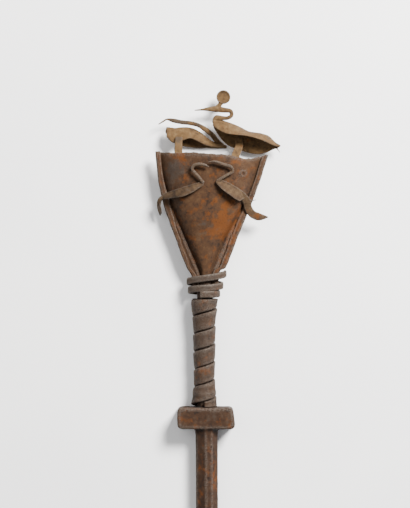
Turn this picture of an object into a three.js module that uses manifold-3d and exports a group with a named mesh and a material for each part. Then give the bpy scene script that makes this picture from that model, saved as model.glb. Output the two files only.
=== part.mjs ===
// Osanyin staff of forged iron: a square shaft with a cross bar, a wound grip, and a fan-shaped head of
// folded sheet, open behind, with two birds on its face and two standing at its mouth. Millimetres.
//
// The staff is drawn on its own axis, with +Y up the staff, +Z to the front and the origin on top of the
// cross bar. The last group lays it on its back on the plane z = 0.

import * as THREE from 'three';
import { mergeVertices } from 'three/addons/utils/BufferGeometryUtils.js';
import Module from 'manifold-3d';

const wasm = await Module();
wasm.setup();

// Clear space between pieces that touch
const GAP = 0.3;

// Shaft: a square bar set corner to the front, its corners hammered flat
const SHAFT_RADIUS = 10.2;
const SHAFT_CORNER = 17;
const SHAFT_TURN = 11;
const SHAFT_LENGTH = 330;
const SHAFT_POINT_LENGTH = 96;
const SHAFT_TIP_RADIUS = 4.6;
const TANG_RADIUS = 7.3;
const NECK_RADIUS = 7.9;
const TONGUE = { top: 150, radius: 3.8, tipRadius: 3, setBack: 2.8 };

// Cross bar, forged in one with the shaft
const BAR_LEFT = -26.8;
const BAR_RIGHT = 24;
const BAR_RIGHT_FOOT = 25.3;
const BAR_HEIGHT = 19.4;
const BAR_DEPTH = 25;
const BAR_CORNER = 3;
const BAR_BEVEL = 1.5;

// Where the staff touches the floor: behind the bar and behind the shaft above its point
const REST_BAR = { y: -9.7, z: -12.1 };
const REST_SHAFT = { y: -250, z: -9.8 };

// Grip: a strip of sheet wound up the tang
const GRIP_AXIS = -2.4;
const GRIP_TOP = 98;
const GRIP_PITCH = 15.95;
const GRIP_SEAM = 6.1;
const GRIP_LAP = 0.5;
const GRIP_BORE = 7.75;

// Neck binding: a thick strap wound twice and a bit round the foot of the head
const STRAP_HEIGHT = 6.6;
const STRAP_GAUGE = 2.6;
const STRAP_TURNS = 2.3;
const STRAP_HALF_WIDTH = 18.4;
const STRAP_HALF_DEPTH = 10.2;

// Head: one sheet hammered hollow, with the edges folded over to the front
const HEAD_FOOT = 110;
const HEAD_FLARE = 126.2;
const HEAD_MOUTH = 228;
const HEAD_GAUGE = 1.7;
const FOLD_RADIUS = 1.1;

// Birds: cut and folded from thinner sheet
const BIRD_GAUGE = 1.4;
const EDGE_GAUGE = 0.35;
const LEG_GAUGE = 1.6;
const CREST_RADIUS = 6.4;

// What a join may leave along its seam: no shorter edge and no flatter triangle
const SEAM_EDGE = 0.12;
const SEAM_HEIGHT = 0.04;

// A smooth curve of one value through a few [place, value] knots, level beyond its ends
function curveThrough(knots) {
  const slopes = knots.map(([place, value], i) => {
    const [before, under] = knots[Math.max(i - 1, 0)];
    const [after, over] = knots[Math.min(i + 1, knots.length - 1)];
    const rise = (over - value) * (value - under);
    const inside = i > 0 && i < knots.length - 1;
    return inside && rise <= 0 ? 0 : (over - under) / (after - before);
  });
  return (place) => {
    const last = knots.length - 1;
    if (place <= knots[0][0]) return knots[0][1];
    if (place >= knots[last][0]) return knots[last][1];
    const i = knots.findIndex(([end]) => end > place) - 1;
    const width = knots[i + 1][0] - knots[i][0];
    const t = (place - knots[i][0]) / width;
    const s = t * t * (3 - 2 * t);
    const start = width * slopes[i] * t * (1 - t) * (1 - t);
    const end = width * slopes[i + 1] * t * t * (t - 1);
    return knots[i][1] * (1 - s) + knots[i + 1][1] * s + start + end;
  };
}

// Geometry helpers

// A closed body of the given triangles, turned so that they all face out
function closedGeometry(points, triangles) {
  let volume = 0;
  for (let n = 0; n < triangles.length; n += 3) {
    const [a, b, c] = triangles.slice(n, n + 3).map((k) => points[k]);
    volume += a.dot(new THREE.Vector3().crossVectors(b, c));
  }
  const geometry = new THREE.BufferGeometry();
  const flat = points.flatMap((p) => [p.x, p.y, p.z]);
  geometry.setAttribute('position', new THREE.Float32BufferAttribute(flat, 3));
  geometry.setIndex(volume < 0 ? triangles.slice().reverse() : triangles);
  return geometry;
}

// A solid skinned over rings of equal count, with a flat fan at both ends
function loft(rings) {
  const sides = rings[0].length;
  const points = rings.flat();
  const triangles = [];
  for (let r = 0; r < rings.length - 1; r += 1) {
    for (let k = 0; k < sides; k += 1) {
      const a = r * sides + k;
      const b = r * sides + ((k + 1) % sides);
      triangles.push(a, b, b + sides, a, b + sides, a + sides);
    }
  }
  const closeEnd = (ring, first, flip) => {
    const centre = ring.reduce((sum, p) => sum.add(p), new THREE.Vector3()).divideScalar(sides);
    points.push(centre);
    for (let k = 0; k < sides; k += 1) {
      const pair = [first + k, first + ((k + 1) % sides)];
      if (flip) pair.reverse();
      triangles.push(...pair, points.length - 1);
    }
  };
  closeEnd(rings[0], 0, true);
  closeEnd(rings[rings.length - 1], (rings.length - 1) * sides, false);
  return closedGeometry(points, triangles);
}

// A closed sheet over a grid of points on its middle. Its gauge is even, or given row by row.
function sheet(grid, gauge) {
  const rows = grid.length - 1;
  const columns = grid[0].length - 1;
  const front = [];
  const back = [];
  grid.forEach((row, j) => row.forEach((point, i) => {
    const across = new THREE.Vector3()
      .subVectors(row[Math.min(i + 1, columns)], row[Math.max(i - 1, 0)]);
    const along = new THREE.Vector3()
      .subVectors(grid[Math.min(j + 1, rows)][i], grid[Math.max(j - 1, 0)][i]);
    const normal = across.cross(along).normalize();
    const half = (Array.isArray(gauge) ? gauge[j] : gauge) / 2;
    front.push(point.clone().addScaledVector(normal, half));
    back.push(point.clone().addScaledVector(normal, -half));
  }));
  const under = front.length;
  const at = (i, j) => j * (columns + 1) + i;
  const triangles = [];
  const quad = (a, b, c, d) => triangles.push(a, b, c, a, c, d);
  for (let j = 0; j < rows; j += 1) {
    for (let i = 0; i < columns; i += 1) {
      const [a, b, c, d] = [at(i, j), at(i + 1, j), at(i + 1, j + 1), at(i, j + 1)];
      quad(a, b, c, d);
      quad(under + a, under + d, under + c, under + b);
    }
    quad(at(0, j), at(0, j + 1), under + at(0, j + 1), under + at(0, j));
    quad(at(columns, j), under + at(columns, j), under + at(columns, j + 1), at(columns, j + 1));
  }
  for (let i = 0; i < columns; i += 1) {
    quad(at(i, 0), under + at(i, 0), under + at(i + 1, 0), at(i + 1, 0));
    quad(at(i, rows), at(i + 1, rows), under + at(i + 1, rows), under + at(i, rows));
  }
  return closedGeometry([...front, ...back], triangles);
}

// A bar that follows a path, given as stops of [x, y, z, half width, half depth]. Its width lies across
// the path in the front view, or is turned from there by some degrees about the path. Squareness 1 gives
// an oval section, smaller values a flat strap.
function strip(stops, steps, { squareness = 1, turn = 0 } = {}) {
  const sides = 8;
  const twist = THREE.MathUtils.degToRad(turn);
  const path = new THREE.CatmullRomCurve3(stops.map((s) => new THREE.Vector3(s[0], s[1], s[2])));
  const widthAt = curveThrough(stops.map((s, i) => [i, s[3]]));
  const depthAt = curveThrough(stops.map((s, i) => [i, s[4]]));
  const toViewer = new THREE.Vector3(0, 0, 1);
  const bend = (value) => Math.sign(value) * Math.abs(value) ** squareness;
  const rings = [];
  for (let n = 0; n <= steps; n += 1) {
    const t = n / steps;
    const place = path.getPoint(t);
    const ahead = path.getTangent(t);
    const side = new THREE.Vector3().crossVectors(ahead, toViewer).applyAxisAngle(ahead, twist).normalize();
    const rise = new THREE.Vector3().crossVectors(side, ahead);
    const ring = [];
    for (let k = 0; k < sides; k += 1) {
      const angle = -(k + 0.5) * 2 * Math.PI / sides;
      const width = widthAt(t * (stops.length - 1)) * bend(Math.cos(angle));
      const depth = depthAt(t * (stops.length - 1)) * bend(Math.sin(angle));
      ring.push(place.clone().addScaledVector(side, width).addScaledVector(rise, depth));
    }
    rings.push(ring);
  }
  return loft(rings);
}

function toSolid(geometry) {
  const bare = geometry.clone();
  bare.deleteAttribute('normal');
  bare.deleteAttribute('uv');
  const merged = mergeVertices(bare, 1e-4);
  return new wasm.Manifold(new wasm.Mesh({
    numProp: 3,
    vertProperties: merged.attributes.position.array,
    triVerts: new Uint32Array(merged.index.array),
  }));
}

function toGeometry(manifold) {
  const { vertProperties, triVerts } = manifold.getMesh();
  const geometry = new THREE.BufferGeometry();
  geometry.setAttribute('position', new THREE.BufferAttribute(vertProperties, 3));
  geometry.setIndex(new THREE.BufferAttribute(triVerts, 1));
  return geometry;
}

// Pieces forged into one, without any loose crumb that their crossing leaves
function join(...geometries) {
  const bodies = geometries.map(toSolid).reduce((whole, piece) => whole.add(piece)).decompose();
  const largest = bodies.reduce((most, body) => (body.volume() > most.volume() ? body : most));
  return smoothSeams(toGeometry(largest));
}

// Draws the ends of very short edges together, then turns the long edge of every flat triangle over to the
// other diagonal of the pair that shares it
function smoothSeams(geometry) {
  const { position } = geometry.attributes;
  const points = [];
  for (let k = 0; k < position.count; k += 1) {
    points.push(new THREE.Vector3().fromBufferAttribute(position, k));
  }
  const edgesOf = ([a, b, c]) => [[a, b, c], [b, c, a], [c, a, b]];
  const lengthOf = ([a, b]) => points[a].distanceTo(points[b]);
  const longer = (edge, other) => (lengthOf(edge) > lengthOf(other) ? edge : other);

  const home = points.map((_, k) => k);
  const homeOf = (k) => (home[k] === k ? k : homeOf(home[k]));
  const all = [];
  for (let n = 0; n < geometry.index.count; n += 3) {
    all.push([0, 1, 2].map((k) => geometry.index.getX(n + k)));
  }
  for (const [a, b] of all.flatMap(edgesOf)) {
    const ends = [homeOf(a), homeOf(b)];
    if (lengthOf(ends) < SEAM_EDGE) home[ends[0]] = ends[1];
  }
  const triangles = all.map((corners) => corners.map(homeOf))
    .filter((corners) => new Set(corners).size === 3);

  const rounds = 6;
  for (let round = 0; round < rounds; round += 1) {
    const owner = new Map();
    triangles.forEach((corners, n) => edgesOf(corners).forEach(([a, b]) => owner.set(`${a},${b}`, n)));
    const turned = new Set();
    triangles.forEach((corners, n) => {
      const [a, b, tip] = edgesOf(corners).reduce(longer);
      const base = new THREE.Line3(points[a], points[b]);
      const height = base.closestPointToPoint(points[tip], true, new THREE.Vector3()).distanceTo(points[tip]);
      const other = owner.get(`${b},${a}`);
      if (height > SEAM_HEIGHT || turned.has(n) || turned.has(other)) return;
      const far = triangles[other].find((k) => k !== a && k !== b);
      if (owner.has(`${tip},${far}`) || owner.has(`${far},${tip}`)) return;
      triangles[n] = [a, far, tip];
      triangles[other] = [far, b, tip];
      turned.add(n).add(other);
    });
  }
  return closedGeometry(points, triangles.flat());
}

function iron(color, roughness) {
  return new THREE.MeshStandardMaterial({ color, roughness, metalness: 0.55 });
}

function named(name, geometry, material) {
  geometry.computeVertexNormals();
  const mesh = new THREE.Mesh(geometry, material);
  mesh.name = name;
  return mesh;
}

// Shaft and cross bar

// The line of the staff: the grip stands a little to the left of the shaft and the head
const staffLine = curveThrough([[-350, 1.6], [-90, 0.1], [-20, -0.5], [8, -2.2], [90, GRIP_AXIS],
  [110, -0.9], [TONGUE.top, -1.2]]);

function barRing(y, radius, corner = SHAFT_CORNER, turn = SHAFT_TURN, setBack = 0) {
  const ring = [];
  for (let k = 0; k < 4; k += 1) {
    for (const half of [-corner, corner]) {
      const angle = THREE.MathUtils.degToRad(turn + 90 * k + half);
      const x = staffLine(y) + radius * Math.sin(angle);
      ring.push(new THREE.Vector3(x, y, radius * Math.cos(angle) - setBack));
    }
  }
  return ring;
}

function crossBarGeometry() {
  const inset = BAR_BEVEL;
  const outline = new THREE.Shape();
  const top = -inset;
  const foot = -BAR_HEIGHT + inset;
  const left = BAR_LEFT + inset;
  outline.moveTo(left + BAR_CORNER, top);
  outline.quadraticCurveTo(left, top, left, top - BAR_CORNER);
  outline.lineTo(left, foot + BAR_CORNER);
  outline.quadraticCurveTo(left, foot, left + BAR_CORNER, foot);
  outline.lineTo(BAR_RIGHT_FOOT - inset - BAR_CORNER, foot);
  outline.quadraticCurveTo(BAR_RIGHT_FOOT - inset, foot, BAR_RIGHT_FOOT - inset, foot + BAR_CORNER);
  outline.lineTo(BAR_RIGHT - inset, top - BAR_CORNER);
  outline.quadraticCurveTo(BAR_RIGHT - inset, top, BAR_RIGHT - inset - BAR_CORNER, top);
  const geometry = new THREE.ExtrudeGeometry(outline, {
    depth: BAR_DEPTH - 2 * BAR_BEVEL,
    bevelThickness: BAR_BEVEL,
    bevelSize: BAR_BEVEL,
    bevelSegments: 2,
    curveSegments: 3,
  });
  return geometry.translate(0, 0, BAR_BEVEL - BAR_DEPTH / 2);
}

// Everything under the plane that the staff lies on, turned back into the staff's own frame
function floorBlock() {
  const size = 1000;
  const block = new THREE.BoxGeometry(size, size, size);
  block.translate(0, 0, -size / 2);
  block.rotateX(-layAngle);
  return block.translate(0, REST_BAR.y, REST_BAR.z);
}

const layAngle = Math.atan2(REST_SHAFT.z - REST_BAR.z, REST_BAR.y - REST_SHAFT.y);

function shaftGeometry() {
  const barFoot = -BAR_HEIGHT;
  const tip = barFoot - SHAFT_LENGTH;
  const round = 22.5;
  const rings = [
    barRing(tip, SHAFT_TIP_RADIUS),
    barRing(tip + SHAFT_POINT_LENGTH * 0.5, SHAFT_RADIUS * 0.8),
    barRing(tip + SHAFT_POINT_LENGTH, SHAFT_RADIUS),
    barRing(-90, SHAFT_RADIUS),
    barRing(barFoot - 6, SHAFT_RADIUS),
    barRing(barFoot - 2, SHAFT_RADIUS + 0.5),
    barRing(barFoot + 0.5, SHAFT_RADIUS + 2),
    barRing(-2, SHAFT_RADIUS - 1, round, 0),
    ...[-1.9, 3, 8, 16, 32, 60, 80, 90, GRIP_TOP + 1].map((y) => barRing(y, TANG_RADIUS, round, 0)),
    barRing(GRIP_TOP + 1.1, NECK_RADIUS, round, 0),
    barRing(HEAD_FOOT - 2, NECK_RADIUS, round, 0),
    barRing(HEAD_FOOT - 0.5, TONGUE.radius, round, 0, TONGUE.setBack),
    barRing(TONGUE.top, TONGUE.tipRadius, round, 0, TONGUE.setBack),
  ];
  const whole = toSolid(loft(rings)).add(toSolid(crossBarGeometry()));
  return toGeometry(whole.subtract(toSolid(floorBlock())));
}

// Grip

// Outer radius up the grip, widest at its foot and under the neck binding
const gripRadius = curveThrough([[0, 11.4], [7, 10.7], [12, 10.6], [18, 9.7], [32, 9.3], [46, 9.7],
  [75, 10.2], [90, 11.4], [100, 11.7]]);
// The foot of the strip also flares out to the left
const gripFlare = curveThrough([[0, 2.6], [3, 1.6], [9, 0]]);

function gripGeometry() {
  const steps = 16;
  const strap = GRIP_PITCH - GRIP_LAP;
  const turns = Math.ceil(GRIP_TOP / GRIP_PITCH) + 1;
  const rings = [];
  for (let n = 0; n <= steps * turns; n += 1) {
    const angle = 2 * Math.PI * n / steps;
    const foot = GRIP_SEAM + GRIP_PITCH * (n / steps - 1);
    const at = (radius, y) => new THREE.Vector3(
      staffLine(y) + radius * Math.sin(angle), y, radius * Math.cos(angle));
    const outer = (share, lift) => {
      const y = foot + strap * share;
      return at(gripRadius(y) + gripFlare(y) * Math.max(-Math.sin(angle), 0) + lift, y);
    };
    rings.push([at(GRIP_BORE, foot), outer(0, -0.5), outer(0.15, 0), outer(0.93, 0.35), outer(1, -0.1),
      at(GRIP_BORE, foot + strap)]);
  }
  // The wound strip is cut level at both ends
  const beyond = 2.5 * gripRadius(0);
  const keep = new THREE.CylinderGeometry(beyond, beyond, GRIP_TOP - GAP, 16);
  keep.translate(0, (GRIP_TOP + GAP) / 2, 0);
  return toGeometry(toSolid(loft(rings)).intersect(toSolid(keep)));
}

// Neck binding

function strapGeometry() {
  const steps = 20;
  const halfTurns = STRAP_TURNS * 2;
  // The first half turn slants down across the front, the rest lie closer together
  const height = curveThrough([[0, 120.4], [1, 113.4], [2, 109.6], [3, 105.6], [4, 102.3], [5, 101.8]]);
  const section = [[0, -0.5], [0.75, -0.42], [1, -0.15], [1, 0.15], [0.75, 0.42], [0, 0.5]];
  const rings = [];
  for (let n = 0; n <= steps * STRAP_TURNS; n += 1) {
    const half = n * 2 / steps;
    const angle = Math.PI * half;
    const reach = STRAP_HALF_WIDTH - half - STRAP_GAUGE;
    const depth = STRAP_HALF_DEPTH + 2.4 * half / halfTurns - STRAP_GAUGE;
    const centre = -0.6 - 0.45 * half;
    rings.push(section.map(([out, up]) => new THREE.Vector3(
      centre + (reach + STRAP_GAUGE * out) * Math.cos(angle),
      height(half) + STRAP_HEIGHT * up,
      (depth + STRAP_GAUGE * out) * Math.sin(angle))));
  }
  return loft(rings);
}

// Head

// Outline of the head, left and right, up the staff
const edgeLeft = curveThrough([[110, -13.6], [119, -14.3], [125.6, -18.7], [154.4, -29.6],
  [181.4, -39.2], [204.8, -44.5], [231, -47.2]]);
const edgeRight = curveThrough([[110, 10.4], [117, 11.4], [123.8, 12.3], [126.2, 17.2], [154.4, 28.4],
  [181.4, 39.6], [204.8, 47.8], [228, 55.7]]);

// Where the hollow of the head meets its flat borders
const grooveLeft = curveThrough([[110, -5.6], [123, -5.8], [149, -17.1], [181.4, -30.6],
  [204.8, -38.2], [231, -41.8]]);
const grooveRight = curveThrough([[110, 3.8], [123, 3.9], [149, 14.2], [174.2, 27.9],
  [192.2, 36.9], [228, 48.4]]);
const hemLeft = curveThrough([[125, 4.2], [150, 4.2], [181, 6.6]]);
const hemRight = curveThrough([[125, 6.2], [150, 6.5]]);

// Height of the walls, swell of the face and squareness of the section
const wallHeight = curveThrough([[120, 4.8], [149, 6.8], [181, 9.6], [228, 11.6]]);
const faceSwell = curveThrough([[120, 0.6], [149, 2.4], [181, 4.2], [228, 7.2]]);
const sectionPower = curveThrough([[120, 4], [149, 5], [185, 7], [205, 5.5], [228, 2.3]]);

// The mouth runs nearly straight across, dips right of the middle and rises to a pointed corner
const mouthEdge = curveThrough([[-46.5, 230.6], [-38, 229.6], [0, 228.4], [20, 226.5], [36.5, 224],
  [47, 225.2], [55.3, 227.8]]);

function headHeight(x, y) {
  const left = grooveLeft(y);
  const right = grooveRight(y);
  const share = Math.min(Math.abs((2 * x - left - right) / (right - left)), 1);
  return wallHeight(y) * (1 - share ** sectionPower(y)) + faceSwell(y) * (1 - share * share);
}

// Places across the head at height y, from the left hem's inner edge to the right hem's, as [x, z]
function headSection(y) {
  const hemHeight = 2 * FOLD_RADIUS;
  const foldOut = FOLD_RADIUS + HEAD_GAUGE / 2;
  const border = (edge, groove, hem, sign) => {
    const centre = edge - sign * foldOut;
    const widest = Math.abs(edge - groove) - 1;
    const rim = edge - sign * Math.min(hem, widest);
    const places = [[rim, hemHeight]];
    for (let k = 0; k <= 4; k += 1) {
      const angle = Math.PI * k / 4;
      places.push([centre + sign * FOLD_RADIUS * Math.sin(angle), FOLD_RADIUS * (1 + Math.cos(angle))]);
    }
    return places;
  };
  const left = grooveLeft(y);
  const right = grooveRight(y);
  const places = border(edgeLeft(y), left, hemLeft(y), -1);
  const halves = 8;
  for (let k = -halves; k <= halves; k += 1) {
    const share = Math.sign(k) * (1 - (1 - Math.abs(k) / halves) ** 1.6);
    const x = (left + right) / 2 + share * (right - left) / 2;
    places.push([x, headHeight(x, y)]);
  }
  places.push(...border(edgeRight(y), right, hemRight(y), 1).reverse());
  return places;
}

function headGeometry() {
  const rows = 12;
  const neckLevels = [HEAD_FOOT, 117, 123.8];
  const bodyLevels = Array.from({ length: rows + 1 }, (_, j) => (
    HEAD_FLARE + (HEAD_MOUTH - HEAD_FLARE) * j / rows));
  // The rows are level up to here, and above it they lift little by little to the uneven mouth
  const lastLevel = 180.8;
  const grid = [...neckLevels, ...bodyLevels].map((level) => {
    const lift = Math.max(level - lastLevel, 0) / (HEAD_MOUTH - lastLevel);
    return headSection(level).map(([x, z]) => new THREE.Vector3(
      x, level + lift * (mouthEdge(x) - HEAD_MOUTH), z));
  });
  return sheet(grid, HEAD_GAUGE);
}

// Front of the head at a place on its face or, beyond the grooves, on its hems
function faceHeight(x, y) {
  const onHem = x < grooveLeft(y) || x > grooveRight(y);
  return onHem ? 2 * FOLD_RADIUS + HEAD_GAUGE / 2 : headHeight(x, y) + HEAD_GAUGE / 2;
}

// Birds

// A leaf of sheet folded along its spine, with one wing down to its near edge and one to its far edge. The
// three are paths through as many points, and the near wing swells towards the viewer by its cup. The gauge
// thins where the leaf gets narrow.
function foldedLeaf({ spine, nearEdge, farEdge, cup = 0, rows = 12 }) {
  const [fold, near, far] = [spine, nearEdge, farEdge]
    .map((points) => new THREE.CatmullRomCurve3(points.map((p) => new THREE.Vector3(...p))));
  const swell = new THREE.Vector3(0, 0.6, 0.8).multiplyScalar(4 * cup);
  const grid = [];
  const gauges = [];
  for (let j = 0; j <= rows; j += 1) {
    const [middle, front, back] = [fold, near, far].map((path) => path.getPoint(j / rows));
    const onWing = (edge, share, bulge) => middle.clone().lerp(edge, share)
      .addScaledVector(swell, bulge * share * (1 - share));
    grid.push([
      ...[1, 0.6, 0.25, 0].map((share) => onWing(front, share, 1)),
      ...[0.25, 0.6, 1].map((share) => onWing(back, share, 0)),
    ]);
    const narrowest = Math.min(middle.distanceTo(front), middle.distanceTo(back));
    gauges.push(Math.min(BIRD_GAUGE, EDGE_GAUGE * (1 + narrowest)));
  }
  return sheet(grid, gauges);
}

// A flat disc with a rolled rim
function crestGeometry() {
  const rim = [[1.5, 0.6], [1, 1.1], [0.25, 0.8]].map(([inset, height]) => [CREST_RADIUS - inset, height]);
  const under = [[0, 0.6], ...rim].map(([radius, height]) => new THREE.Vector2(radius, -height));
  const over = [...rim.reverse(), [0, 0.6]].map(([radius, height]) => new THREE.Vector2(radius, height));
  const disc = new THREE.LatheGeometry([...under, new THREE.Vector2(CREST_RADIUS, 0), ...over], 18);
  return disc.rotateX(Math.PI / 2);
}

function topRightBird() {
  const body = foldedLeaf({
    spine: [[5, 260, -2], [13.6, 258.6, -3], [22.2, 255.8, -3], [30.3, 252.2, -3], [38.6, 248.2, -3],
      [48.5, 246.8, -3], [55.5, 244.4, -3], [61.6, 238.6, -3], [66.6, 235.6, -3]],
    nearEdge: [[5.2, 253.6, 2], [10.2, 249.8, 5.5], [16.7, 246.7, 8.5], [25, 245.3, 10.5], [33.8, 244.6, 11],
      [43.3, 242.4, 9.5], [51.5, 239.6, 6.5], [59.2, 236.1, 2], [65.8, 234.4, -2.2]],
    farEdge: [[5.9, 252.1, -3.5], [12.5, 242.5, -5.4], [19.6, 236.1, -7], [28.1, 233, -8],
      [36.8, 229.9, -8.4], [45.9, 228.5, -8.4], [53.7, 229.7, -7.6], [59.8, 232.5, -6], [65.2, 234.4, -4]],
    cup: 1.2,
    rows: 16,
  });
  const neck = strip([[6.6, 256, -1.6, 2.2, 1.1], [8.4, 260.8, -1.2, 2.6, 1.3], [13.5, 260.9, -1, 2, 1.2],
    [18.9, 260.9, -1, 1.8, 1.2], [22.2, 263.4, -1, 1.8, 1.2], [21.2, 266.9, -1, 2, 1.2],
    [15, 268, -1, 2.5, 1.4], [8, 268.9, -1, 2.8, 1.7], [2, 268.9, -1, 1.9, 1.4],
    [-5.3, 268.3, -1, 0.9, 0.9], [-11.3, 267.8, -1, 0.45, 0.5]], 30);
  const stem = strip([[7.6, 269.6, -1, 1.6, 0.8], [10.8, 272.2, -1, 2, 0.7], [13.4, 275.4, -1, 2.2, 0.6]], 4);
  const crest = crestGeometry().translate(14.8, 279.7, -1);
  const prong = strip([[61.5, 235, -4, 0.8, 0.6], [64, 232.6, -4, 0.6, 0.5], [66, 229.7, -4, 0.35, 0.35]], 3);
  return join(body, neck, stem, crest, prong);
}

function topLeftBird() {
  const body = foldedLeaf({
    spine: [[-36.9, 252.5, -4.4], [-28.8, 251.7, -4.4], [-20.7, 252.5, -4.6], [-13.5, 251.6, -5.4],
      [-6.3, 248.1, -7], [0, 243, -9], [6.3, 239, -11], [18, 236, -12.4]],
    nearEdge: [[-36.5, 243.5, -0.6], [-30.2, 238.2, 1.4], [-21.6, 240.6, 1.4], [-15.3, 242.4, 0.6],
      [-8.1, 239.7, -2], [-0.9, 236.3, -6.4], [7.2, 234.8, -10.6], [17.4, 234.4, -12.2]],
    farEdge: [[-37.8, 248, -6.6], [-29.7, 238.5, -8.6], [-21.6, 235.8, -10], [-15.3, 234.8, -11],
      [-8.1, 234.1, -12], [-0.9, 234.4, -12.6], [7.2, 234, -13], [17.6, 234, -13.2]],
    cup: 1,
  });
  const neck = strip([[15.6, 235.4, -12.6, 1.6, 0.8], [9.8, 239.8, -11, 2.2, 0.9], [4.4, 246, -7.6, 2.3, 1],
    [-1.8, 250.9, -3, 2.3, 1], [-8.6, 254.6, -1.4, 1.9, 1], [-15.3, 256.2, -1.6, 2, 1.1],
    [-23.4, 257.2, -2, 2, 1.1], [-31, 258.7, -2, 1.9, 1], [-36.2, 259.7, -2, 0.8, 0.8],
    [-40, 257.6, -2, 0.75, 0.7], [-43.8, 255.2, -2, 0.45, 0.5]], 26);
  return join(body, neck);
}

// A leg strap stands behind the mouth and runs down inside the head, flat on the back of its face
function legGeometry(top, insideX, halfWidth) {
  const lowest = (y) => Math.min(...[-1, 1].map((side) => headHeight(insideX + side * halfWidth, y)));
  const behind = (y) => lowest(y) - HEAD_GAUGE / 2 - 2 * GAP - LEG_GAUGE / 2;
  const inside = [216, 210, 203].map((y) => [insideX, y, behind(y), halfWidth, LEG_GAUGE / 2]);
  return strip([...top.map((p) => [...p, LEG_GAUGE / 2]), ...inside], 16, { squareness: 0.4 });
}

// The birds on the face: the spine keeps close to the sheet and the lower wing stands off it
function onFace(x, y, lift) {
  return [x, y, faceHeight(x, y) + GAP + BIRD_GAUGE / 2 + lift];
}

function frontRightBird() {
  const body = foldedLeaf({
    spine: [onFace(8.4, 204.4, 1), onFace(16.5, 201.4, 1), onFace(24, 197.4, 1.2), onFace(31, 192.8, 2),
      onFace(35.4, 189, 4)],
    nearEdge: [onFace(7.6, 202, 1.4), onFace(12.8, 196.4, 4.2), onFace(19, 191.8, 5.8),
      onFace(25.6, 187.2, 7.4), onFace(29.4, 185.4, 8.6)],
    farEdge: [onFace(9, 205.4, 0.8), onFace(17.2, 203.2, 0.6), onFace(24.8, 199.2, 0.8),
      onFace(32, 194.4, 1.4), onFace(36.2, 190.4, 4)],
    cup: 0.5,
    rows: 9,
  });
  const neck = strip([[...onFace(9.4, 203.6, 1.4), 1.6, 0.9], [...onFace(13.6, 206.4, 2), 1.4, 0.9],
    [...onFace(19, 209.6, 2.6), 1.4, 0.9], [...onFace(23, 212.4, 3), 1.4, 1],
    [...onFace(21.6, 215.8, 3.2), 1.5, 1.1], [...onFace(14.6, 218.2, 3.2), 1.6, 1.3],
    [...onFace(7, 220.8, 3.2), 1, 1], [...onFace(0.5, 220.3, 3), 0.45, 0.5]], 20);
  const tail = strip([[...onFace(31, 191.8, 1.8), 3, 0.7], [35.8, 185.2, 7.6, 3.8, 0.7],
    [37.2, 179.4, 5.2, 3.6, 0.7], [40.6, 174.4, 4.2, 3.6, 0.7], [45.6, 171.9, 3.8, 3.7, 0.7],
    [50.6, 171.4, 3.2, 2.4, 0.7], [55.3, 171.3, 2.6, 0.5, 0.5]], 14, { squareness: 0.6 });
  const spur = strip([[...onFace(35, 188.6, 2), 1.2, 0.7], [39.4, 186.4, 5.6, 0.7, 0.6],
    [44.4, 186.9, 5.8, 0.4, 0.4]], 5);
  return join(body, neck, tail, spur);
}

function frontLeftBird() {
  const body = foldedLeaf({
    spine: [onFace(-2.3, 202.6, 1), onFace(-11.1, 199.9, 1), onFace(-19.2, 197.4, 1.2), onFace(-28, 194.4, 2),
      [-39.6, 190.8, 5.4]],
    nearEdge: [onFace(-3.4, 199.4, 1.4), onFace(-12.6, 193.4, 3.6), onFace(-20.6, 189.8, 4.8),
      onFace(-28.2, 188.6, 5), [-39, 187.2, 6.6]],
    farEdge: [onFace(-2.2, 203.6, 0.8), onFace(-10.9, 201.5, 0.6), onFace(-19, 199.1, 0.8),
      onFace(-27.8, 196.2, 1.6), [-39.4, 192.4, 4.8]],
    cup: 0.5,
    rows: 11,
  });
  const neck = strip([[...onFace(-3.6, 202, 1.4), 1.6, 0.9], [...onFace(-6.8, 206.4, 2), 1.4, 0.9],
    [...onFace(-10.6, 210.6, 2.6), 1.4, 0.9], [...onFace(-13.2, 214.4, 3), 1.4, 1],
    [...onFace(-11.2, 217.6, 3.2), 1.5, 1.1], [...onFace(-5.6, 218.4, 3.2), 1.5, 1.2],
    [...onFace(-1, 217.4, 3.1), 1, 0.9], [...onFace(1.6, 216, 3), 0.5, 0.5]], 20);
  const strap = strip([[-37.6, 189.6, 5.6, 1.8, 0.7], [-41.2, 188.2, 4.8, 1.9, 0.7],
    [-43.2, 185, 2.6, 2, 0.8], [-43.4, 181.4, -0.6, 1.6, 0.9]], 8, { squareness: 0.6 });
  const tail = strip([[-43.2, 186.4, 1.6, 1, 0.7], [-43.4, 182.6, 0, 4.2, 0.7], [-43, 178, -2, 4.8, 0.7],
    [-42.4, 172.8, -4.6, 0.8, 0.5]], 8, { squareness: 0.6, turn: 68 });
  return join(body, neck, strap, tail);
}

// Assembly

const staff = new THREE.Group();
const add = (name, geometry, material) => staff.add(named(name, geometry, material));

add('shaft', shaftGeometry(), iron(0x4a3a2c, 0.7));
add('grip_wrap', gripGeometry(), iron(0x4e3f31, 0.65));
add('neck_binding', strapGeometry(), iron(0x57483a, 0.6));
add('head_shell', headGeometry(), iron(0x5e4634, 0.75));
add('top_right_bird', topRightBird(), iron(0x8a6a48, 0.7));
add('top_left_bird', topLeftBird(), iron(0x9a7b58, 0.7));
add('top_right_leg', legGeometry([[28.6, 243.6, -3.2, 3.2], [29, 240.2, -3.6, 3.4], [29, 235.4, -2.4, 3.5],
  [26.9, 230, 1.4, 3.7], [24.9, 224.4, 6, 3.8]], 23.4, 3.8), iron(0xa5845c, 0.7));
add('top_left_leg', legGeometry([[-25.2, 243.4, 2.6, 3.2], [-25.4, 240.4, 3.8, 3.3], [-25.6, 237, 4.6, 3.4],
  [-25.7, 231.4, 5.2, 3.7], [-25.5, 224.4, 6.4, 3.8]], -25.2, 3.8), iron(0xa5845c, 0.7));
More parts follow.
